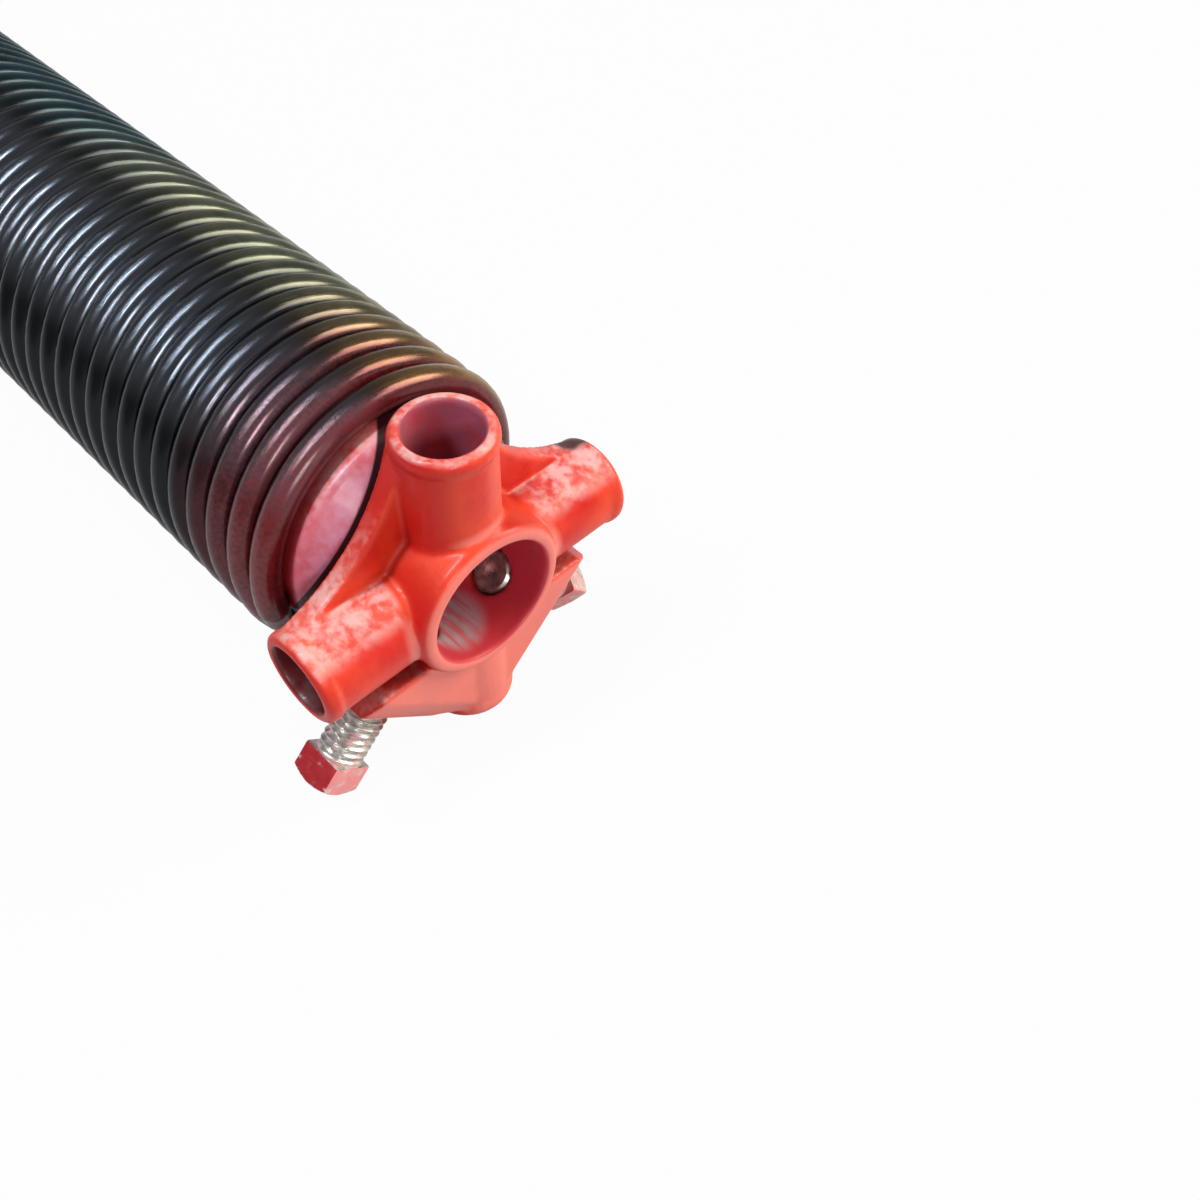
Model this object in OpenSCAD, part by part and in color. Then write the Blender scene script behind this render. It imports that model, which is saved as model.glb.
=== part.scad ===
// Torsion spring for an overhead garage door: one right-wound coil of round wire, a cast
// winding cone with two square-head set screws at one end, and a cast stationary cone with a
// two-bolt flange at the other. X runs along the shaft towards the winding cone, Z is up, and
// the origin is the centre of the face that bolts to the spring anchor bracket.

/* [Spring] */
// Diameter of the round wire
wire_d = 5.715; // [4.5:0.005:6.5]
// Inside diameter of the coil
coil_id = 50.8; // [48:0.1:54]
// Close-wound turns between the two cones
body_turns = 80; // [10:1:110]
// Turns screwed onto each cone, which spread the coil open
cone_turns = 4; // [3:1:6]
// Advance of one close-wound turn
body_pitch = 5.76; // [5.75:0.01:6]
// Advance of the last turn on a cone
end_pitch = 7; // [6.8:0.1:7.4]
// Angle about the shaft at which the wire ends, from +Y towards +Z
wire_end_angle = 190; // [180:1:230]

/* [Shaft] */
// Bore of the winding cone, for a 25.4 mm shaft
winding_bore_d = 25.9; // [25.6:0.1:26.6]
// Bore of the stationary cone, which clears the shaft
anchor_bore_d = 27; // [26:0.1:30]

/* [Winding cone] */
// Distance from the shaft's axis to the mouth of each winding socket
socket_reach = 35.3; // [33:0.1:40]
// Bore of a winding socket, for a 12.7 mm winding bar
socket_d = 13.5; // [13:0.1:14]
// Outside diameter of a socket's tube
tube_d = 17.4; // [15.2:0.1:18]
// Outside diameter of the lip round a socket's mouth
lip_d = 18.4; // [18.2:0.1:20]
// Height of that lip
lip_h = 2.6; // [2:0.1:5]
// Outside diameter of the hub
hub_d = 32.4; // [30:0.1:36]
// How far the hub stands in front of the sockets' plane
hub_front = 10.4; // [9:0.1:12]
// Distance from the axis to the middle of each plain web's hollow edge
web_waist = 24; // [22:0.1:28]
// Radius of that edge's curve
web_curve_r = 38; // [31:0.5:60]
// Thickness of the two plain webs
web_t = 4; // [3:0.1:6]
// Distance from the axis to the end faces of the block that holds the set screws
block_reach = 29.6; // [28:0.1:31]
// Width of each end face
block_w = 20.4; // [18:0.1:21]
// How far the block stands in front of the sockets' plane
block_front = 7.8; // [7.5:0.1:9]
// Length of the threaded barrel
barrel_l = 24; // [20:0.5:30]

/* [Set screws] */
// Diameter of a set screw's shank
screw_d = 9.525; // [9.4:0.005:9.6]
// Size of its square head across the flats
screw_head_af = 9.525; // [9:0.1:11]
// Height of the head
screw_head_h = 6.4; // [5:0.1:8]
// Length of the shank under the head
screw_l = 22.2; // [19:0.1:22.2]
// Distance from the shaft's axis to the underside of the near screw's head, which is backed out
near_seat = 43.4; // [36:0.1:44.5]
// The same for the far screw, whose point has nearly reached the shaft's bore
far_seat = 35.4; // [35.3:0.1:44.5]
// How far the far screw's head is turned about its own axis
far_turn = 30; // [-45:1:45]

/* [Stationary cone] */
// Thickness of the disc that closes the spring's end
anchor_t = 8; // [7:0.5:10]
// Diameter of that disc
anchor_d = 66; // [64:0.5:72]
// Thickness of the two bolt ears
ear_t = 6.5; // [5:0.5:7.5]
// Distance between the two bolts
bolt_spacing = 87.3; // [84:0.1:92]
// Width of a bolt slot, for a 9.5 mm bolt
slot_w = 10.4; // [10:0.1:11]
// Length of a bolt slot over its round ends
slot_l = 15; // [12:0.5:17]
// Radius of an ear's round end
ear_r = 12; // [11.5:0.5:14]
// Diameter of the recess that takes the shaft's bearing
bearing_d = 39; // [36:0.5:42]
// Depth of that recess
bearing_depth = 4.5; // [3:0.5:5]

/* [Hidden] */
arc_fn = 72;
wire_fn = 24;
lap_angle = 1;
slimmer = 0.02;

// The wire's centre line lies on a cylinder of this radius
coil_r = coil_id / 2 + wire_d / 2;
barrel_r = coil_id / 2 - 0.05;
gap = 0.3;
turns = body_turns + 2 * cone_turns;

// Where the wire's centre stands along the shaft after t turns: close wound in the middle, and
// spread steadily wider towards both ends. The wire starts just clear of the stationary cone.
coil_start = anchor_t + gap + wire_d / 2;
spread = (end_pitch - body_pitch) / (2 * cone_turns);
spread_total = spread * cone_turns * cone_turns;
function from_end(u) = spread * pow(max(0, cone_turns - u), 2);
// Places are whole hundredths of a millimetre, so that two half turns share an end exactly
function hundredth(x) = round(100 * x) / 100;
function along(t) =
    hundredth(coil_start + body_pitch * t + spread_total - from_end(t) + from_end(turns - t));
coil_end = along(turns);
// A thread ridge runs midway between two turns
function between(t) = hundredth((along(t) + along(t - 1)) / 2);

// The winding cone's places, counted from the plane of its four sockets
shoulder_back = -14.2;
shoulder_front = -6.5;
web_back = -6;
web_end = socket_reach - lip_h;
web_curve_at = (web_waist + web_curve_r) / sqrt(2);
screw_x = -2;
block_back = -9.2;
block_step = 2;
block_floor = 1.5 - socket_reach;
block_foot = 10;
front_level = -9.5;
slope_w = 5;
slope_d = 2.6;
socket_x = coil_end + wire_d / 2 + gap - shoulder_back;
socket_floor = 16;
hub_foot = 1.5;
hub_round = 1.5;
lip_foot = 1;
lip_round = 1.2;
mouth_chamfer = 0.5;
nose_l = 3;
nose_in = 2.5;
shoulder_l = 0.8;
shoulder_in = 0.4;
rim = 1;
ear_root = 5;
// Cuts run past the solid by this much, and joined shapes run into each other by it
over = 1;

// A thread ridge stands between two turns of wire, as high as this
ridge_h = 1;
ridge_root = 5;
ridge_top = 1;
ridge_turns = 2.5;

// The square head's corners are cut by a cone, and the shank ends in a cup point
head_chamfer = 1.2;
point_chamfer = 1;
cup_r = 2.4;
cup_depth = 1.2;
thread_clearance = 0.05;

slot_half = (slot_l - slot_w) / 2;
bolt_y = bolt_spacing / 2;

// Half a turn of any outline, as a plane arc: tilted, it climbs from x0 to x1, and its ends
// run square to the shaft, so that the next half turn carries on from it without a kink.
// A slim half turn laps into the full ones before and after it.
module half_turn(x0, x1, r, slim) {
    rise = (x1 - x0) / 2;
    arc_r = sqrt(r * r + rise * rise);
    tilt = asin(rise / arc_r);
    lap = slim ? lap_angle : 0;
    translate([(x0 + x1) / 2, 0, 0])
        rotate([0, slim ? -tilt : tilt, 0])
            rotate([slim ? 0 : 180, 0, 0])
                rotate([0, 90, 0])
                    rotate([0, 0, 180 - lap])
                        rotate_extrude(angle = 180 + 2 * lap, $fn = arc_fn)
                            translate([arc_r, 0])
                                children();
}

module turn_to_wire_end() {
    rotate([wire_end_angle - 270, 0, 0])
        children();
}

module spring() {
    color([0.13, 0.13, 0.15])
        turn_to_wire_end()
            for (k = [0:2 * turns - 1]) {
                slim = k % 2 == 1;
                half_turn(along(k / 2), along((k + 1) / 2), coil_r, slim)
                    circle(d = wire_d - (slim ? 2 * slimmer : 0), $fn = wire_fn);
            }
}

// The ridge of a cone's thread, beside the wire's half turns from one to another
module thread_ridge(from, to) {
    turn_to_wire_end()
        for (k = [from:to]) {
            slim = k % 2 == 1;
            half_turn(between(k / 2), between((k + 1) / 2), barrel_r, slim)
                ridge_section(slim ? slimmer : 0);
        }
}

// A ridge's section, sloping on both sides and rooted below the barrel's surface
module ridge_section(less) {
    polygon([
        [-ridge_h, less - ridge_root / 2],
        [ridge_h - less, less - ridge_top / 2],
        [ridge_h - less, ridge_top / 2 - less],
        [-ridge_h, ridge_root / 2 - less]
    ]);
}

// Turns an outline of [distance along the shaft, radius] into a round of the casting
module round_on_shaft(outline) {
    rotate([0, 90, 0])
        rotate_extrude($fn = arc_fn)
            polygon([for (p = outline) [p[1], p[0]]]);
}

// Barrel, sloping shoulder and hub, as one turned shape
module winding_body() {
    nose = shoulder_back - barrel_l;
    round_on_shaft([
        [nose, 0],
        [nose, barrel_r - nose_in],
        [nose + nose_l, barrel_r],
        [shoulder_back, barrel_r],
        [shoulder_back + shoulder_l, barrel_r - shoulder_in],
        [shoulder_front, hub_d / 2 + hub_foot],
        [shoulder_front + hub_foot, hub_d / 2],
        [hub_front - hub_round, hub_d / 2],
        [hub_front - hub_round / 3, hub_d / 2 - hub_round / 3],
        [hub_front, hub_d / 2 - hub_round],
        [hub_front, 0]
    ]);
}

// One winding socket, standing up along Z
module socket_tube() {
    cylinder(d = tube_d, h = socket_reach - lip_h / 2, $fn = arc_fn);
    rotate_extrude($fn = arc_fn)
        polygon([
            [0, socket_reach - lip_h - lip_foot],
            [tube_d / 2 - lip_foot / 3, socket_reach - lip_h - lip_foot],
            [lip_d / 2, socket_reach - lip_h],
            [lip_d / 2, socket_reach - lip_round],
            [lip_d / 2 - lip_round / 3, socket_reach - lip_round / 3],
            [lip_d / 2 - lip_round, socket_reach],
            [0, socket_reach]
        ]);
}

module socket_bore() {
    translate([0, 0, socket_floor])
        cylinder(d = socket_d, h = socket_reach, $fn = arc_fn);
    translate([0, 0, socket_reach - mouth_chamfer])
        cylinder(
            r1 = socket_d / 2,
            r2 = socket_d / 2 + 2 * mouth_chamfer,
            h = 2 * mouth_chamfer,
            $fn = arc_fn
        );
}

module at_each_socket() {
    for (a = [0, 90, 180, 270])
        rotate([a, 0, 0])
            children();
}

// An outline in Y and Z, made a plate across the shaft from x0 to x1
module plate(x0, x1) {
    translate([x0, 0, 0])
        rotate([90, 0, 90])
            linear_extrude(x1 - x0)
                children();
}

// The two plain webs, from the top socket to the side ones, with their edges hollowed out
module plain_webs() {
    difference() {
        plate(web_back, web_back + web_t)
            polygon([[-web_end, 0], [web_end, 0], [web_end, web_end], [-web_end, web_end]]);
        for (side = [-1, 1])
            translate([web_back - over, side * web_curve_at, web_curve_at])
                rotate([0, 90, 0])
                    cylinder(r = web_curve_r, h = web_t + 2 * over, $fn = arc_fn);
    }
}

// A point of the lower block, at a distance along one set screw's axis and across from it
function on_block(side, out, up) = [side * (out + up), up - out] / sqrt(2);

// The lower block's outline, from a level down: two pads along the set screws, which meet
// round the bottom socket
module block_outline(level) {
    half = block_w / 2;
    neck = half - level * sqrt(2);
    polygon([
        on_block(-1, neck, half),
        on_block(-1, block_reach, half),
        on_block(-1, block_reach, -half),
        [-block_foot / 2, block_floor],
        [block_foot / 2, block_floor],
        on_block(1, block_reach, -half),
        on_block(1, block_reach, half),
        on_block(1, neck, half)
    ]);
}

// Its back part joins the arms' undersides. Its front part lies under the arms, and slopes
// back towards both end faces.
module set_screw_block() {
    plate(block_back, block_step)
        block_outline(0);
    difference() {
        plate(block_step - over, block_front)
            block_outline(front_level);
        for (side = [-1, 1])
            rotate([-side * 135, 0, 0])
                rotate([90, 0, 0])
                    linear_extrude(2 * socket_reach, center = true)
                        polygon([
                            [block_front + slope_d, block_reach - 2 * slope_w],
                            [block_front - 2 * slope_d, block_reach + slope_w],
                            [block_front + slope_d, block_reach + slope_w]
                        ]);
    }
}

// Puts a shape that stands along Z on a set screw's axis: side is -1 near, 1 far
module on_screw_axis(side) {
    translate([screw_x, 0, 0])
        rotate([-side * 135, 0, 0])
            children();
}

module winding_cone() {
    color([0.82, 0.16, 0.12])
        translate([socket_x, 0, 0])
            difference() {
                union() {
                    winding_body();
                    plain_webs();
                    set_screw_block();
                    at_each_socket()
                        socket_tube();
                    translate([-socket_x, 0, 0])
                        thread_ridge(2 * (turns - ridge_turns), 2 * turns - 1);
                }
                at_each_socket()
                    socket_bore();
                translate([shoulder_back - barrel_l - over, 0, 0])
                    rotate([0, 90, 0])
                        cylinder(
                            d = winding_bore_d,
                            h = barrel_l + hub_front - shoulder_back + 2 * over,
                            $fn = arc_fn
                        );
                translate([hub_front - mouth_chamfer, 0, 0])
                    rotate([0, 90, 0])
                        cylinder(
                            r1 = winding_bore_d / 2,
                            r2 = winding_bore_d / 2 + 2 * mouth_chamfer,
                            h = 2 * mouth_chamfer,
                            $fn = arc_fn
                        );
                for (side = [-1, 1])
                    on_screw_axis(side)
                        cylinder(d = screw_d, h = block_reach + over, $fn = arc_fn);
            }
}

// A square-head set screw with its head up and the head's underside at z = 0
module set_screw() {
    reach = screw_head_af / 2;
    intersection() {
        rotate([0, 0, 45])
            cylinder(r = reach * sqrt(2), h = screw_head_h, $fn = 4);
        rotate_extrude($fn = arc_fn)
            polygon([
                [0, -over],
                [reach * 1.5, -over],
                [reach * 1.5, screw_head_h - head_chamfer],
                [reach, screw_head_h],
                [0, screw_head_h]
            ]);
    }
    shank_r = screw_d / 2 - thread_clearance;
    rotate_extrude($fn = arc_fn)
        polygon([
            [0, over],
            [shank_r, over],
            [shank_r, point_chamfer - screw_l],
            [shank_r - point_chamfer, -screw_l],
            [cup_r, -screw_l],
            [0, cup_depth - screw_l]
        ]);
}

module near_set_screw() {
    color([0.66, 0.64, 0.63])
        translate([socket_x, 0, 0])
            on_screw_axis(-1)
                translate([0, 0, near_seat])
                    set_screw();
}

module far_set_screw() {
    color([0.66, 0.64, 0.63])
        translate([socket_x, 0, 0])
            on_screw_axis(1)
                translate([0, 0, far_seat])
                    rotate(far_turn)
                        set_screw();
}

module bolt_ear(side) {
    translate([side * bolt_y, 0])
        circle(r = ear_r, $fn = arc_fn);
    polygon([
        [0, anchor_d / 2 - ear_root],
        [side * bolt_y, ear_r - over],
        [side * bolt_y, over - ear_r],
        [0, ear_root - anchor_d / 2]
    ]);
}

module bolt_slot(side) {
    for (end = [-1, 1])
        translate([side * bolt_y + end * slot_half, 0])
            circle(d = slot_w, $fn = arc_fn);
    translate([side * bolt_y - slot_half, -slot_w / 2])
        square([2 * slot_half, slot_w]);
}

module stationary_cone() {
    nose = anchor_t + barrel_l;
    color([0.72, 0.72, 0.71])
        difference() {
            union() {
                round_on_shaft([
                    [0, 0],
                    [0, anchor_d / 2 - rim],
                    [rim, anchor_d / 2],
                    [anchor_t - rim, anchor_d / 2],
                    [anchor_t, anchor_d / 2 - rim],
                    [anchor_t, barrel_r],
                    [nose - nose_l, barrel_r],
                    [nose, barrel_r - nose_in],
                    [nose, 0]
                ]);
                plate(0, ear_t)
                    for (side = [-1, 1])
                        bolt_ear(side);
                thread_ridge(2, 2 * ridge_turns + 1);
            }
            translate([-over, 0, 0])
                rotate([0, 90, 0])
                    cylinder(d = anchor_bore_d, h = nose + 2 * over, $fn = arc_fn);
            translate([-over, 0, 0])
                rotate([0, 90, 0])
                    cylinder(d = bearing_d, h = bearing_depth + over, $fn = arc_fn);
            plate(-over, ear_t + over)
                for (side = [-1, 1])
                    bolt_slot(side);
        }
}

spring();
winding_cone();
near_set_screw();
far_set_screw();
stationary_cone();
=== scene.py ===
"""A torsion spring for an overhead garage door: its wire, its red winding cone with two set
screws, and the plain stationary cone at the far end. Everything is in metres, in the CAD
model's frame: X runs along the shaft towards the winding cone, and Z is up."""

import bmesh
import bpy
import numpy as np
from mathutils import Matrix, Vector


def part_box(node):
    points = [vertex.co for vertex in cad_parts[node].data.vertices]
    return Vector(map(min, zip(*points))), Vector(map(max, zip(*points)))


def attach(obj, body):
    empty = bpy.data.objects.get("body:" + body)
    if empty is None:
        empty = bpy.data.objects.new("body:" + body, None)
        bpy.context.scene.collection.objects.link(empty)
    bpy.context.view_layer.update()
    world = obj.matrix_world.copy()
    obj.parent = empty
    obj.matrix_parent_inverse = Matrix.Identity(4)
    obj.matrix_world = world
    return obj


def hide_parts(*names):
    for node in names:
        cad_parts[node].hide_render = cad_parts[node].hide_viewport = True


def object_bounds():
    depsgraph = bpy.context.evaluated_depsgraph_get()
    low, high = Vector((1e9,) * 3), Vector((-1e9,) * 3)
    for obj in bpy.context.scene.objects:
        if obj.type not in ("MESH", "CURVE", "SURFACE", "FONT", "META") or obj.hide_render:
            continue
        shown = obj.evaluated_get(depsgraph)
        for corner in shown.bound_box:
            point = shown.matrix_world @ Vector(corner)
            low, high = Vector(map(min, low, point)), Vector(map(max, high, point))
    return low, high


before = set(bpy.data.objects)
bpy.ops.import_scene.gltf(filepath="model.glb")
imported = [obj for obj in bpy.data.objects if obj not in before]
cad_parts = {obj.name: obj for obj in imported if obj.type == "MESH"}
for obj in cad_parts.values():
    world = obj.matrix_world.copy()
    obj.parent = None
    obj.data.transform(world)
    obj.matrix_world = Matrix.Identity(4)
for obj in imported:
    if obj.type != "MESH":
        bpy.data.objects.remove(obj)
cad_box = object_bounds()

# ---------------------------------------------------------------------------------------------
# The oil-tempered wire: 88 turns of 5.7 mm wire, close wound, and spread open where they are
# screwed onto the two cones. It leaves the mill almost black, with a straw to blue film of
# oxide under oil, and the last turns took some red when the cone was sprayed in place. Where the
# lamps' highlights fall, the film is painted paler and more reflective: painted highlights.
MM = 0.001
coil_low, coil_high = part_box("spring")
wire_r = 5.715 / 2 * MM
coil_r = (coil_high.z - coil_low.z) / 2 - wire_r
turns = 88
cone_turns = 4
body_pitch = 5.76 * MM
end_pitch = 7 * MM
end_angle = np.radians(190)
sawn_edge = 0.35 * MM
rings_per_turn = 64
wire_sides = 16


def wire_centre(t):
    """The centre line after t turns: a circle about the X axis, which moves along by one pitch
    a turn. The pitch grows steadily over the turns that sit on the cones."""
    spread = (end_pitch - body_pitch) / (2 * cone_turns)
    opened = np.maximum(0, cone_turns - turns + t) ** 2 - np.maximum(0, cone_turns - t) ** 2
    x = coil_low.x + wire_r + body_pitch * t + spread * (cone_turns**2 + opened)
    angle = end_angle + 2 * np.pi * t
    return np.stack([x, coil_r * np.cos(angle), coil_r * np.sin(angle)], axis=-1)


def unit(vectors):
    """Each row of vectors, divided by its own length."""
    return vectors / np.linalg.norm(vectors, axis=1, keepdims=True)


def tube_mesh(name, points, uv):
    """A closed tube from a grid of points, one row a ring: four-sided faces between each ring
    and the next, and one flat face over the first ring and over the last."""
    rows, cols = points.shape[:2]
    index = np.arange(rows * cols).reshape(rows, cols)
    beside = np.roll(index, -1, axis=1)
    wall = np.stack([index[:-1], beside[:-1], beside[1:], index[1:]], axis=-1)
    faces = wall.reshape(-1, 4).tolist() + [index[0][::-1].tolist(), index[-1].tolist()]
    mesh = bpy.data.meshes.new(name)
    mesh.from_pydata(points.reshape(-1, 3).tolist(), [], faces)
    corner = np.empty(len(mesh.loops), dtype=np.int32)
    mesh.loops.foreach_get("vertex_index", corner)
    layer = mesh.uv_layers.new(name="along")
    layer.data.foreach_set("uv", uv.reshape(-1, 2)[corner].astype(np.float32).ravel())
    return mesh


def bench(name, mesh, finish=None, node=None):
    """Lays a mesh out as an object with smooth faces. With a finish it is a part of the spring,
    which rides on the one body and stands for a CAD node."""
    mesh.polygons.foreach_set("use_smooth", np.ones(len(mesh.polygons), dtype=bool))
    mesh.update()
    piece = bpy.data.objects.new(name, mesh)
    bpy.context.scene.collection.objects.link(piece)
    if finish:
        mesh.materials.append(finish.made)
        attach(piece, "root")
        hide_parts(node)
    return piece


class Finish:
    """A finish being mixed: its surface shader, and short ways to add the nodes that drive it.
    Every pattern reads the piece's Object coordinates or its own UV map."""

    def __init__(self, made, shader="BsdfPrincipled", output="OutputMaterial", **values):
        self.made = made
        self.made.use_nodes = True
        self.nodes, self.links = made.node_tree.nodes, made.node_tree.links
        self.nodes.clear()
        place = self.put("TexCoord").outputs
        self.spot, self.uv, self.normal = place["Object"], place["UV"], place["Normal"]
        self.x, self.y, self.z = self.put("SeparateXYZ", _0=self.spot).outputs
        values = {key.replace("_", " "): value for key, value in values.items()}
        self.skin = self.put(shader, **values)
        self.out = self.put(output, _0=self.skin.outputs[0])

    def put(self, kind, settings=None, **inputs):
        """A node with its settings and inputs. An input goes by its name, or by its number after
        a low line. It is a value, a colour of three numbers, or another node's output."""
        node = self.nodes.new("ShaderNode" + kind)
        for key, value in (settings or {}).items():
            setattr(node, key, value)
        for key, value in inputs.items():
            socket = node.inputs[int(key[1:])] if key[0] == "_" else node.inputs[key]
            if isinstance(value, bpy.types.NodeSocket):
                self.links.new(value, socket)
            else:
                socket.default_value = (*value, 1) if socket.type == "RGBA" else value
        return node

    def both(self, a, b):
        """a times b."""
        return self.put("Math", {"operation": "MULTIPLY"}, _0=a, _1=b).outputs[0]

    def either(self, a, b):
        """The greater of a and b."""
        return self.put("Math", {"operation": "MAXIMUM"}, _0=a, _1=b).outputs[0]

    def plus(self, a, b):
        """a and b added up."""
        return self.put("Math", {"operation": "ADD"}, _0=a, _1=b).outputs[0]

    def vector(self, kind, a, b=(0, 0, 0)):
        """Vector arithmetic. A dot product or a distance comes out as a number."""
        node = self.put("VectorMath", {"operation": kind}, _0=a, _1=b)
        return node.outputs["Value" if kind in ("DOT_PRODUCT", "DISTANCE") else "Vector"]

    def noise(self, scale, detail, at=None, stretch=(1, 1, 1)):
        """Cloudy noise about 0.5, with so many clouds a metre, or a unit of the UV map."""
        spot = self.put("Mapping", Vector=at or self.spot, Scale=stretch).outputs[0]
        return self.put("TexNoise", Vector=spot, Scale=scale, Detail=detail).outputs[0]

    def step(self, value, low, high, to_low=0.0, to_high=1.0):
        """A value carried smoothly from one range to another, and never beyond its ends."""
        smooth = {"interpolation_type": "SMOOTHSTEP"}
        ends = {"_1": low, "_2": high, "_3": to_low, "_4": to_high}
        return self.put("MapRange", smooth, _0=value, **ends).outputs[0]

    def within(self, value, edge, soft, most=1.0):
        """The most where the value is under an edge, and 0 beyond it, softened on both sides."""
        return self.step(value, edge + soft, edge - soft, 0.0, most)

    def beyond(self, value, edge, soft, most=1.0):
        """0 where the value is under an edge, and the most beyond it."""
        return self.step(value, edge - soft, edge + soft, 0.0, most)

    def facing(self, towards, low, high):
        """0 to 1 as the surface turns towards a direction, by the cosine of the angle to it."""
        towards = Vector(towards).normalized()
        return self.step(self.vector("DOT_PRODUCT", self.normal, towards), low, high)

    def away(self, spot, keep=(1, 1, 1)):
        """The distance from a place, counted only along the axes that keep holds as 1."""
        return self.vector("DISTANCE", self.vector("MULTIPLY", self.spot, keep), spot)

    def blend(self, amount, a, b):
        """Colour a, turning to colour b by the amount."""
        return self.put("Mix", {"data_type": "RGBA"}, _0=amount, _6=a, _7=b).outputs[2]

    def bump(self, height, distance, strength, **under):
        """Normals tilted as if the surface rose by a distance where the height is 1."""
        depths = {"Distance": distance, "Strength": strength}
        return self.put("Bump", Height=height, **depths, **under).outputs[0]

    def drive(self, **inputs):
        """Joins nodes to the shader's inputs."""
        for key, value in inputs.items():
            self.links.new(value, self.skin.inputs[key.replace("_", " ")])


def before_end(length):
    """The place along X that lies a length before the wire's end on the winding cone."""
    return coil_high.x - length


t = np.linspace(0, turns, turns * rings_per_turn + 1)
centre = wire_centre(t)
forward = unit(np.gradient(centre, t, axis=0))
outward = unit(centre * [0, 1, 1])
sideways = unit(np.cross(forward, outward))
ring_r = np.full(len(t), wire_r)
ring_r[[0, -1]] -= sawn_edge
about = np.linspace(0, 2 * np.pi, wire_sides, endpoint=False)
spokes = np.cos(about)[:, None] * outward[:, None] + np.sin(about)[:, None] * sideways[:, None]
wire_points = centre[:, None] + ring_r[:, None, None] * spokes
wire_uv = np.stack(np.meshgrid(t, about / (2 * np.pi), indexing="ij"), axis=-1)

film_black = (0.022, 0.024, 0.027)
film_brown = (0.045, 0.024, 0.018)
film_crest_highlight = (0.082, 0.09, 0.105)
film_teal = (0.055, 0.125, 0.15)
film_cream = (0.27, 0.29, 0.20)
film_straw = (0.42, 0.25, 0.10)
scale_streak = (0.025, 0.022, 0.022)
overspray = (0.19, 0.004, 0.007)

wire = Finish(bpy.data.materials.new("oil_tempered_wire"))
drawn = wire.noise(3.0, 6.0, at=wire.uv, stretch=(5, 40, 1))
mill = wire.noise(120.0, 5.0)
# Heat colours, from teal along the coil to straw at its end, on the flank of each turn that
# faces the warm lamp, where they also make the film far more reflective: a painted highlight
cream = wire.step(wire.x, before_end(125 * MM), before_end(72 * MM))
straw = wire.step(wire.x, before_end(48 * MM), before_end(4 * MM))
heat = wire.blend(straw, wire.blend(cream, film_teal, film_cream), film_straw)
tint_and_highlight_side = wire.both(wire.facing((0, 1, 0.55), 0.35, 0.9), wire.step(mill, 0.25, 0.6, 0.5, 1.0))
# Black elsewhere, browner at the top of each turn, and a painted highlight along the crest,
# where the film is paler under the cool strip lamp's reflection
film = wire.blend(wire.facing((0, 0.42, 1), 0.93, 0.995), film_black, film_brown)
around = wire.vector("NORMALIZE", wire.vector("MULTIPLY", wire.spot, (0, 1, 1)))
crest = wire.vector("DOT_PRODUCT", around, Vector((0, -0.44, 0.9)).normalized())
film = wire.blend(wire.step(crest, 0.86, 0.97), film, film_crest_highlight)
film = wire.blend(tint_and_highlight_side, film, heat)
film = wire.blend(wire.step(drawn, 0.5, 0.8, 0.0, 0.4), film, scale_streak)
# A mist of red on the sides of the last turns that faced the spray
mist = wire.step(wire.noise(1300.0, 3.0), 0.3, 0.7, 0.6, 0.95)
spray = wire.both(wire.step(wire.x, before_end(34 * MM), before_end(2 * MM), 0.0, 0.85), mist)
spray = wire.both(spray, wire.facing((0.6, -0.75, -0.6), -0.75, 0.35))
wire.drive(Base_Color=wire.blend(spray, film, overspray))
wire.drive(Metallic=wire.step(spray, 0.0, 0.8, 1.0, 0.0))
wire.drive(Roughness=wire.step(drawn, 0.3, 0.8, 0.16, 0.3))
wire.drive(Normal=wire.bump(drawn, 0.03 * MM, 0.5))
wire_mesh = tube_mesh("coil_wire", wire_points, wire_uv)
bench("coil_wire", wire_mesh, wire, "spring")


# ---------------------------------------------------------------------------------------------
# The winding cone: one sand casting in a light alloy, with soft corners where its webs, hub and
# sockets run together. It is sprayed red, and the spray is rubbed off the bore by the shaft.
# Light
# and shade are painted into the red: painted shade on the near side, in the hollows and corners,
# inside the sockets and behind the near web, and painted light on the far side, the fronts, the
# edges, the shoulder and what looks up, where the pale tops and edges are partly chalk and wear.
hub_front = 10.4 * MM
head_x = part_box("winding_cone")[1].x - hub_front
web_back = head_x - 6 * MM
web_curve_r = 38 * MM
web_curve_at = 43.84 * MM
bore_r = 12.95 * MM
sockets_from = 15 * MM


def cast(node, name, cell, passes):
    """A copy of a CAD node with the soft corners of a casting: the copy is merged, rebuilt on a
    fine grid of cubes, and evened out by moving each vertex towards its neighbours."""
    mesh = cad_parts[node].data.copy()
    work = bmesh.new()
    work.from_mesh(mesh)
    bmesh.ops.remove_doubles(work, verts=work.verts, dist=0.002 * MM)
    work.to_mesh(mesh)
    work.free()
    pattern = bpy.data.objects.new(name + "_pattern", mesh)
    bpy.context.scene.collection.objects.link(pattern)
    grid = pattern.modifiers.new("grid", "REMESH")
    grid.mode = "VOXEL"
    grid.voxel_size = cell
    even = pattern.modifiers.new("even", "SMOOTH")
    even.factor = 0.5
    even.iterations = passes
    poured = pattern.evaluated_get(bpy.context.evaluated_depsgraph_get())
    done = bpy.data.meshes.new_from_object(poured)
    bpy.data.objects.remove(pattern)
    done.materials.clear()
    done.name = name
    return done


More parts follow.
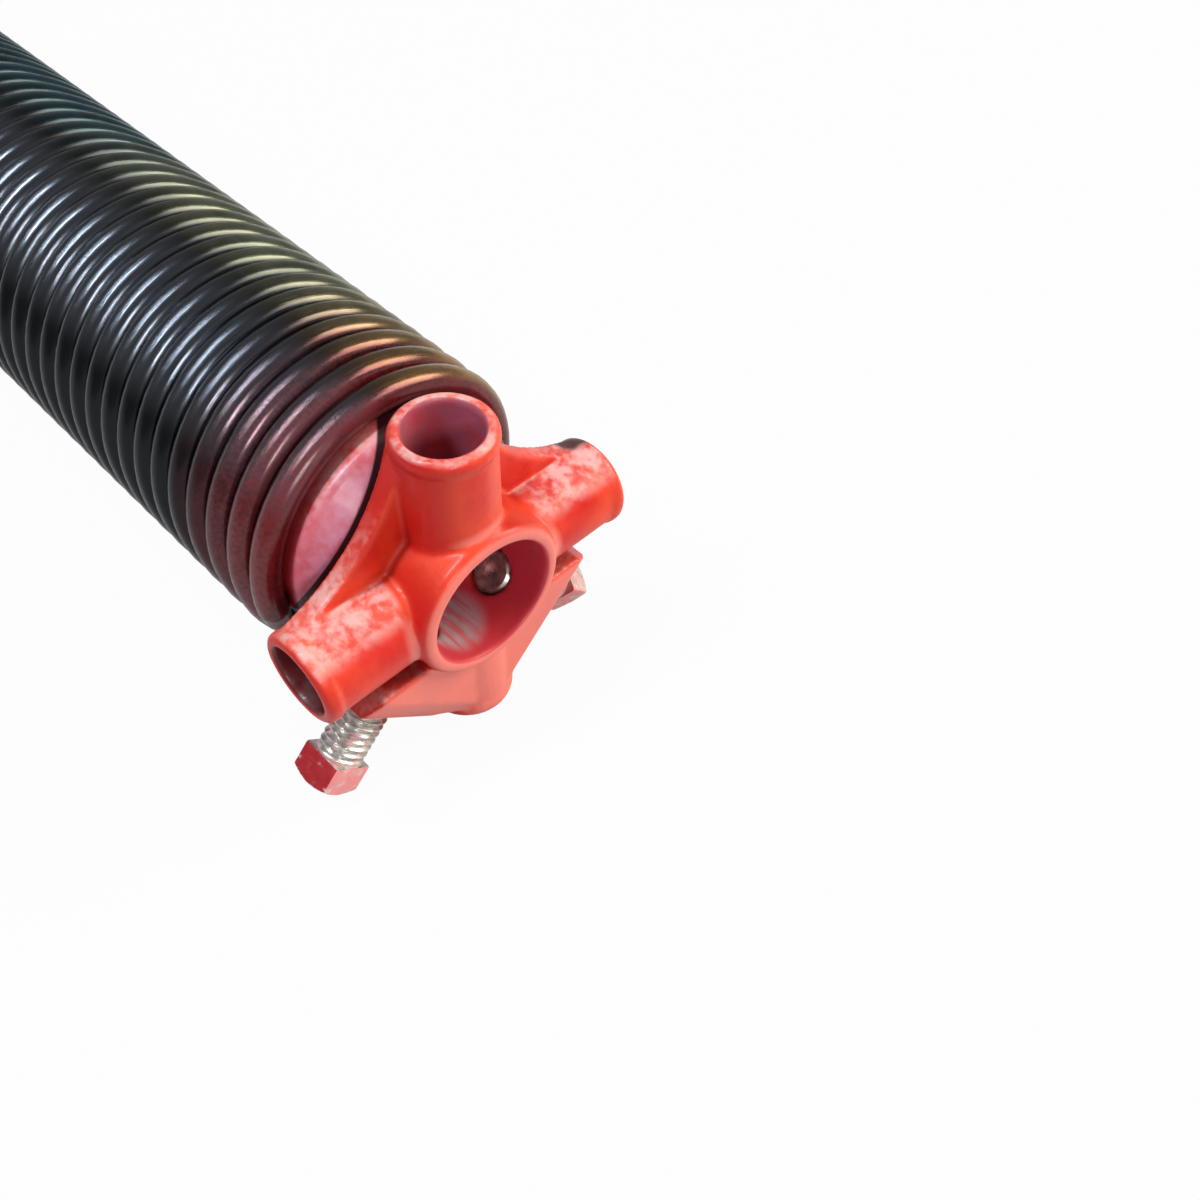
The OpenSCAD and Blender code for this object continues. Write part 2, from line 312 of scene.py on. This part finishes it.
red_deep = (0.60, 0.010, 0.006)
red_bright = (0.84, 0.062, 0.018)
red_shaded_side = (0.52, 0.005, 0.004)
red_lit_side = (0.90, 0.165, 0.09)
red_hollow_shade = (0.26, 0.004, 0.006)
red_corner_shade = (0.22, 0.002, 0.005)
lit_salmon = (0.95, 0.30, 0.25)
crimson = (0.60, 0.045, 0.075)
chalk_glare_pink = (0.80, 0.46, 0.42)
lilac_reflection = (0.76, 0.31, 0.43)
worn_edge_highlight = (0.90, 0.42, 0.34)
shaded_mauve = (0.36, 0.115, 0.17)
gap_shadow_black = (0.03, 0.004, 0.008)
socket_shade_black = (0.05, 0.004, 0.008)
spot_black = (0.02, 0.006, 0.008)
bright_alloy = (0.56, 0.52, 0.56)

enamel = {"IOR": 1.5, "Specular_IOR_Level": 0.3, "Coat_Weight": 0.15, "Coat_Roughness": 0.16}
red = Finish(bpy.data.materials.new("red_enamel"), **enamel)
cloud = red.noise(75.0, 5.0)
blotch = red.noise(230.0, 4.0)
flecks = red.plus(red.both(blotch, 0.6), red.both(red.noise(620.0, 3.0), 0.4))
radius = red.away((0, 0, 0), keep=(0, 1, 1))
off_upright = red.away((head_x, 0, 0), keep=(1, 1, 0))
off_level = red.away((head_x, 0, 0), keep=(1, 0, 1))
# Clouds of two reds, with painted shade on the near side and in the hollows, and painted light
# on the far side, which faces the warm lamp
paint = red.blend(red.step(cloud, 0.3, 0.7), red_deep, red_bright)
shaded_side = red.facing((0, -1, -0.1), 0.35, 0.85)
paint = red.blend(red.both(shaded_side, 0.85), paint, red_shaded_side)
lit_side = red.facing((0.6, 0.8, 0.05), 0.6, 0.98)
paint = red.blend(red.both(lit_side, 0.55), paint, red_lit_side)
edge = red.put("NewGeometry").outputs["Pointiness"]
paint = red.blend(red.step(edge, 0.47, 0.40, 0.0, 0.8), paint, red_hollow_shade)
# A painted highlight in salmon on the fronts of the hub and the block, and crimson in the bore
foremost = red.either(red.within(radius, 18 * MM, 1 * MM), red.within(red.z, -10 * MM, 1 * MM))
front = red.beyond(red.x, head_x + 5.5 * MM, 1.5 * MM, 0.6)
front = red.both(red.facing((1, 0, 0), 0.6, 0.95), front)
paint = red.blend(red.both(front, foremost), paint, lit_salmon)
paint = red.blend(red.within(radius, bore_r + 0.5 * MM, 0.25 * MM, 0.8), paint, crimson)
# Pale chalk on what looks up, painted lighter as glare too, a painted lilac reflection on the
# shoulder behind the webs, and pale edges, worn and painted as a highlight
chalk_and_glare = red.both(red.facing((0.1, -0.1, 1), 0.6, 0.97), red.step(flecks, 0.38, 0.6, 0.1, 0.8))
chalk_and_glare = red.both(chalk_and_glare, red.beyond(radius, 17.75 * MM, 0.75 * MM))
paint = red.blend(chalk_and_glare, paint, chalk_glare_pink)
# The painted lilac reflection: on the shoulder behind the webs, clear of the tubes and hub
clear_of_tubes = [red.beyond(off, 7.8 * MM, 0.2 * MM) for off in (off_upright, off_level)]
outside = red.both(red.both(*clear_of_tubes), red.beyond(radius, 15.5 * MM, 0.5 * MM))
shoulder = red.within(red.x, web_back - 0.65 * MM, 0.35 * MM)
shoulder = red.both(shoulder, red.facing((1, 0, 0), -0.2, 0.3))
shoulder_reflection = red.both(red.both(shoulder, outside), red.step(flecks, 0.35, 0.65, 0.5, 0.95))
shoulder_reflection = red.both(shoulder_reflection, red.step(radius, 26 * MM, 21 * MM, 0.55, 1.0))
paint = red.blend(shoulder_reflection, paint, lilac_reflection)
# Pale edges: worn paint, lightened further as a painted highlight
paint = red.blend(red.step(edge, 0.60, 0.72, 0.0, 0.7), paint, worn_edge_highlight)
# Painted shade in the corners: darker red where the casting closes in round a point
corner = red.put("AmbientOcclusion", {"samples": 8}, Distance=7 * MM).outputs["AO"]
paint = red.blend(red.step(corner, 0.75, 0.3, 0.0, 0.75), paint, red_corner_shade)
# A painted shadow: a black strip on the shoulder behind the near web, where the gap behind the
# web lies in shade. The strip follows the web's hollow edge, carried back along a fixed slant,
# which drifts across and up with the depth
depth = red.plus(red.both(red.x, -1), web_back)
shadow_across, shadow_up = -0.55, 1.234
drift_y = red.plus(red.both(depth, shadow_across), red.y)
drift_z = red.plus(red.both(depth, shadow_up), red.z)
drifted = red.put("CombineXYZ", _1=drift_y, _2=drift_z).outputs[0]
off_curve = red.vector("DISTANCE", drifted, (0, -web_curve_at, web_curve_at))
gap_shadow = red.beyond(off_curve, web_curve_r - 1.1 * MM, 0.3 * MM)
gap_shadow = red.both(red.beyond(depth, 0.1 * MM, 0.2 * MM), gap_shadow)
gap_shadow = red.both(red.both(gap_shadow, outside), red.within(radius, 26.5 * MM, 0.5 * MM))
paint = red.blend(gap_shadow, paint, gap_shadow_black)
# Painted shade inside the sockets: a darker mauve in blotches in the top socket, and near black
# in the other three
in_upright, in_level = (red.within(off, 7.15 * MM, 0.15 * MM) for off in (off_upright, off_level))
in_top = red.both(in_upright, red.beyond(red.z, sockets_from, 0.5 * MM, 0.8))
paint = red.blend(red.both(in_top, red.step(blotch, 0.3, 0.6, 0.6, 1.0)), paint, shaded_mauve)
in_bottom = red.both(in_upright, red.within(red.z, -sockets_from, 0.5 * MM, 0.9))
from_shaft = red.put("Math", {"operation": "ABSOLUTE"}, _0=red.y).outputs[0]
in_sides = red.both(in_level, red.beyond(from_shaft, sockets_from, 0.5 * MM, 0.9))
paint = red.blend(red.either(in_bottom, in_sides), paint, socket_shade_black)
# A black spot on the far socket's lip
dark_spot = red.away((head_x - 5.5 * MM, 34 * MM, 8 * MM))
paint = red.blend(red.within(dark_spot, 4.3 * MM, 0.9 * MM, 0.9), paint, spot_black)
# Streaks of the bore, rubbed bright by the shaft
streaks = red.noise(300.0, 3.0, stretch=(0.3, 2.0, 2.0))
rubbed = red.within(red.away((head_x - 1 * MM, -4.5 * MM, -12.5 * MM)), 7.5 * MM, 2.5 * MM, 0.95)
rubbed = red.both(rubbed, red.step(streaks, 0.35, 0.6, 0.25, 1.0))
red.drive(Base_Color=red.blend(rubbed, paint, bright_alloy), Metallic=red.both(rubbed, 0.35))
# Orange peel in the enamel, with the grain of the sand over it
peel = red.bump(red.noise(380.0, 3.0), 0.25 * MM, 0.4)
red.drive(Normal=red.bump(red.noise(1100.0, 3.0), 0.1 * MM, 0.5, Normal=peel))
red.drive(Roughness=red.step(cloud, 0.3, 0.75, 0.34, 0.52))
red_mesh = cast("winding_cone", "red_casting", 0.55 * MM, 4)
bench("red_casting", red_mesh, red, "winding_cone")


# ---------------------------------------------------------------------------------------------
# Two 3/8 inch set screws, 16 threads to the inch, with chamfered square heads and cup points.
# They are bright zinc, with red where the spray reached them, which is painted pink as a
# highlight on the front of each head. The near one is backed out, and the far one is screwed in
# until its point is almost in the bore.
screw_x = head_x - 2 * MM
shank_r = 4.7125 * MM
shank_l = 22.2 * MM
thread_pitch = 25.4 / 16 * MM
thread_depth = 0.9 * MM
thread_steepness = 1.25
crest_flat = 0.12
runout = 1.5 * MM
point_bevel = 1 * MM
half_head = 9.525 / 2 * MM
head_corner = 0.965 * half_head * np.sqrt(2)
head_h = 6.4 * MM
head_bevel = 1.2 * MM
bevel_reach = 1.35 * head_bevel
bevel_flare = 0.5
crown_r = 0.5 * half_head
cup_r = 2.4 * MM
cup_depth = 1.2 * MM
pole_r = 0.02 * MM
screw_cols = 96
thread_rows = 220
bevel_rows = 8
near_seat = 43.4 * MM
far_seat = 35.4 * MM
far_turn = 30


def column(*values):
    """Values as a column, to go with a row of angles."""
    return np.array(values)[:, None]


def set_screw(name, side, seat, turned):
    """Rings round the screw's axis, from the cup to the top of the head. On the shank, at height
    z and angle a, the radius dips in a V with the fraction of z / pitch - a / (2 pi), and the V
    fades out under the head. On the head it is the least of the square's and the bevel's."""
    a = np.linspace(0, 2 * np.pi, screw_cols, endpoint=False)
    every = np.ones(screw_cols)
    cup_z = column(cup_depth, 0.35 * cup_depth, 0) - shank_l
    cup = column(pole_r, 0.6 * cup_r, cup_r) * every

    shank_z = np.linspace(-shank_l, 0, thread_rows)[:, None]
    saw = (shank_z / thread_pitch - a / (2 * np.pi)) % 1
    vee = np.clip(thread_steepness * np.abs(2 * saw - 1) - crest_flat, 0, 1)
    shank = shank_r - thread_depth * vee * np.clip(-shank_z / runout, 0, 1)
    shank = np.minimum(shank, shank_r - np.clip(point_bevel - shank_z - shank_l, 0, None))

    square = half_head / np.maximum(np.abs(np.cos(a)), np.abs(np.sin(a)))
    square = np.minimum(square, head_corner)
    foot_z = column(0, 0.12, 0.35) * MM
    foot = column(0.93, 0.985, 1) * square
    bevel_z = np.linspace(head_h - bevel_reach, head_h, bevel_rows)[:, None]
    bevel = np.minimum(square, half_head * (1 + bevel_flare * (head_h - bevel_z) / head_bevel))
    crown_z = column(head_h, head_h)
    crown = column(crown_r, pole_r) * every

    z = np.concatenate([cup_z, shank_z, foot_z, bevel_z, crown_z])
    r = np.concatenate([cup, shank, foot, bevel, crown])
    spin, lean = np.radians(turned), np.radians(-135 * side)
    x = screw_x + r * np.cos(a + spin)
    out, up = r * np.sin(a + spin), (z + seat) * every
    y = out * np.cos(lean) - up * np.sin(lean)
    height = out * np.sin(lean) + up * np.cos(lean)
    uv = np.stack([z / shank_l * every, a / (2 * np.pi) + 0 * z], axis=-1)
    mesh = tube_mesh(name, np.stack([x, y, height], axis=-1), uv)
    mesh.set_sharp_from_angle(angle=np.radians(32))
    return mesh


zinc_dull = (0.50, 0.49, 0.46)
zinc_bright = (0.80, 0.78, 0.72)
mist_pink = (0.78, 0.30, 0.32)
dust_and_glare_pink = (0.80, 0.24, 0.24)
coat_red = (0.36, 0.010, 0.016)

zinc = Finish(bpy.data.materials.new("zinc_screw"))
haze = zinc.noise(500.0, 4.0)
fleck = zinc.noise(420.0, 5.0)
metal = zinc.blend(zinc.step(haze, 0.3, 0.7), zinc_dull, zinc_bright)
# The UV map counts shank lengths up from the head's underside, so the shank lies below 0
along = zinc.put("SeparateXYZ", _0=zinc.uv).outputs[0]
on_head = zinc.beyond(along, -0.01, 0.02)
coated = zinc.both(on_head, zinc.facing((0, -0.7, 0.7), 0.3, 0.8))
# Red dust on the front of each head, painted pink there as a highlight
dusted_and_lit = zinc.both(on_head, zinc.facing((1, 0, 0.1), 0.3, 0.8))
misted = zinc.both(zinc.step(along, -0.8, -0.55), zinc.step(fleck, 0.52, 0.66, 0.0, 0.6))
metal = zinc.blend(misted, metal, mist_pink)
metal = zinc.blend(zinc.both(dusted_and_lit, zinc.step(fleck, 0.3, 0.5, 0.4, 0.95)), metal, dust_and_glare_pink)
metal = zinc.blend(zinc.both(coated, zinc.step(fleck, 0.25, 0.42)), metal, coat_red)
layer = zinc.either(zinc.either(coated, dusted_and_lit), misted)
zinc.drive(Base_Color=metal, Metallic=zinc.step(layer, 0.0, 0.8, 0.85, 0.0))
zinc.drive(Roughness=zinc.step(haze, 0.3, 0.7, 0.24, 0.42))
zinc.drive(Normal=zinc.bump(haze, 0.06 * MM, 0.5))
near_mesh = set_screw("near_screw", -1, near_seat, 0)
far_mesh = set_screw("far_screw", 1, far_seat, far_turn)
bench("near_screw", near_mesh, zinc, "near_set_screw")
bench("far_screw", far_mesh, zinc, "far_set_screw")


# ---------------------------------------------------------------------------------------------
# The stationary cone at the far end, sand cast in the same alloy and left bare. The face that
# bolts to the bracket and the seat of the bearing are machined bright.
alloy_dull = (0.42, 0.42, 0.42)
alloy_pale = (0.62, 0.62, 0.61)
alloy_cut = (0.74, 0.74, 0.75)

bare = Finish(bpy.data.materials.new("bare_casting"), Metallic=1.0)
sand = bare.noise(600.0, 4.0)
stain = bare.noise(45.0, 5.0)
alloy = bare.blend(bare.step(stain, 0.35, 0.7), alloy_dull, alloy_pale)
machined = bare.facing((-1, 0, 0), 0.9, 0.98)
bare.drive(Base_Color=bare.blend(machined, alloy, alloy_cut))
bare.drive(Roughness=bare.step(machined, 0.0, 1.0, 0.55, 0.28))
bare.drive(Normal=bare.bump(sand, 0.2 * MM, 0.6))
bare_mesh = cast("stationary_cone", "bare_cone", 0.7 * MM, 3)
bench("bare_cone", bare_mesh, bare, "stationary_cone")


# ---------------------------------------------------------------------------------------------
# The studio: a white floor that the spring lies on, and white surroundings. Two narrow strip
# lamps draw the bright dashes along the coil, a large warm box lights the far side, and a weak
# lamp fills the front.
floor_half = 6.0
floor_white = (0.5, 0.5, 0.5)
surround = 0.09
lamp_away = 2.5
aim = Vector((head_x - 0.12, 0, 0))


def seen(finish, directly, mirrored):
    """How much of its white a surface shows: one share to the camera's own rays, and another to
    those that a gloss threw back or a glass let through."""
    rays = finish.put("LightPath").outputs
    thrown = finish.either(rays["Is Glossy Ray"], rays["Is Transmission Ray"])
    direct = finish.both(rays["Is Camera Ray"], directly)
    return finish.either(direct, finish.both(thrown, mirrored))


floor_mesh = bpy.data.meshes.new("floor")
lowest = cad_box[0][2]
floor_corners = [
    (-floor_half, -floor_half, lowest),
    (floor_half, -floor_half, lowest),
    (floor_half, floor_half, lowest),
    (-floor_half, floor_half, lowest),
]
floor_mesh.from_pydata(floor_corners, [], [(0, 1, 2, 3)])
bench("floor", floor_mesh)
paper = Finish(bpy.data.materials.new("floor_white"), "BsdfDiffuse", Color=floor_white)
glow = paper.put("Emission", Strength=1.0).outputs[0]
lit = paper.put("MixShader", _0=seen(paper, 0.96, 0.3), _1=paper.skin.outputs[0], _2=glow)
paper.links.new(lit.outputs[0], paper.out.inputs[0])
floor_mesh.materials.append(paper.made)

walls = Finish(bpy.data.worlds.new("studio"), "Background", "OutputWorld", Color=(1, 1, 1))
walls.drive(Strength=walls.plus(seen(walls, 0.97 - surround, 0.31 - surround), surround))
bpy.context.scene.world = walls.made


def softbox(name, towards, size, brightness, colour):
    """A rectangular lamp which faces the aim from a direction. Its power in watts is its
    brightness times pi times its area."""
    lamp = bpy.data.lights.new(name, "AREA")
    lamp.shape = "RECTANGLE"
    lamp.size, lamp.size_y = size
    lamp.energy = brightness * np.pi * size[0] * size[1]
    lamp.color = colour
    holder = bpy.data.objects.new(name, lamp)
    back = Vector(towards).normalized()
    width = (Vector((1, 0, 0)) - back.x * back).normalized()
    turn = Matrix((width, back.cross(width), back)).transposed().to_4x4()
    holder.matrix_world = Matrix.Translation(aim + back * lamp_away) @ turn
    bpy.context.scene.collection.objects.link(holder)


softbox("cool_strip", (-0.15, -0.38, 0.9), (0.28, 1.5), 44, (0.84, 0.93, 1.0))
softbox("warm_box", (0.5, 0.75, 0.52), (1.1, 1.7), 10, (1.0, 0.92, 0.80))
softbox("front_strip", (0.8, -0.38, 0.46), (0.25, 0.7), 30, (0.94, 0.97, 1.0))
softbox("front_fill", (0.95, 0.1, 0.2), (1.0, 1.0), 1.0, (1.0, 0.97, 0.95))

# The camera looks down at the winding cone from above its near side, rolled a little
camera_spot = Vector((head_x + 0.105805, -0.078464, 0.154996))
camera_look = Vector((-0.41811, 0.46539, -0.78012)).normalized()
camera_roll = np.radians(3.367)
camera_data = bpy.data.cameras.new("camera")
camera_data.lens = 33.18
camera_data.sensor_width = 36
camera_data.clip_start = 0.01
camera = bpy.data.objects.new("camera", camera_data)
bpy.context.scene.collection.objects.link(camera)
bpy.context.scene.camera = camera
level = camera_look.cross(Vector((0, 0, 1))).normalized()
rise = level.cross(camera_look)
to_right = np.cos(camera_roll) * level + np.sin(camera_roll) * rise
to_top = np.cos(camera_roll) * rise - np.sin(camera_roll) * level
camera_turn = Matrix((to_right, to_top, -camera_look)).transposed().to_4x4()
camera.matrix_world = Matrix.Translation(camera_spot) @ camera_turn

bpy.context.scene.view_settings.view_transform = "Standard"
